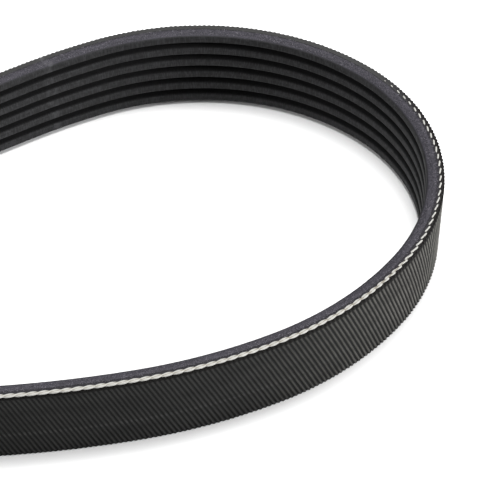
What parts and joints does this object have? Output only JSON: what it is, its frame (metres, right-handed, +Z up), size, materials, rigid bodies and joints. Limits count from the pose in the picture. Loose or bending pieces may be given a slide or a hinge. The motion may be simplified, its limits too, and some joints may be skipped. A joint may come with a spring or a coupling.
{
  "type": "serpentine belt",
  "caption": "Multi-rib drive belt standing on its cut edge as an egg-shaped loop: ribs inside, fabric-faced ridged back outside, a twisted tensile cord bared along the upper edge.",
  "frame": {"origin": "middle of the loop's footprint, on the surface the belt stands on", "axes": "+Z up across the belt's width, +X along the loop's long direction towards its wide end, +Y away from the viewer of the picture"},
  "size_m": [0.2122, 0.1304, 0.021],
  "materials": {
    "ribbed_rubber": "fibre-filled synthetic rubber, ground ribs and rough knife-cut edge, dull dark grey",
    "fabric_back": "rubberised woven fabric with fine slanting moulded ridges, dull black",
    "edge_cord": "twisted polyester tensile cord, off-white"
  },
  "bodies": {
    "root": {"ribbed_rubber": "ribbed_rubber", "fabric_back": "fabric_back", "edge_cord": "edge_cord"}
  },
  "joints": []
}
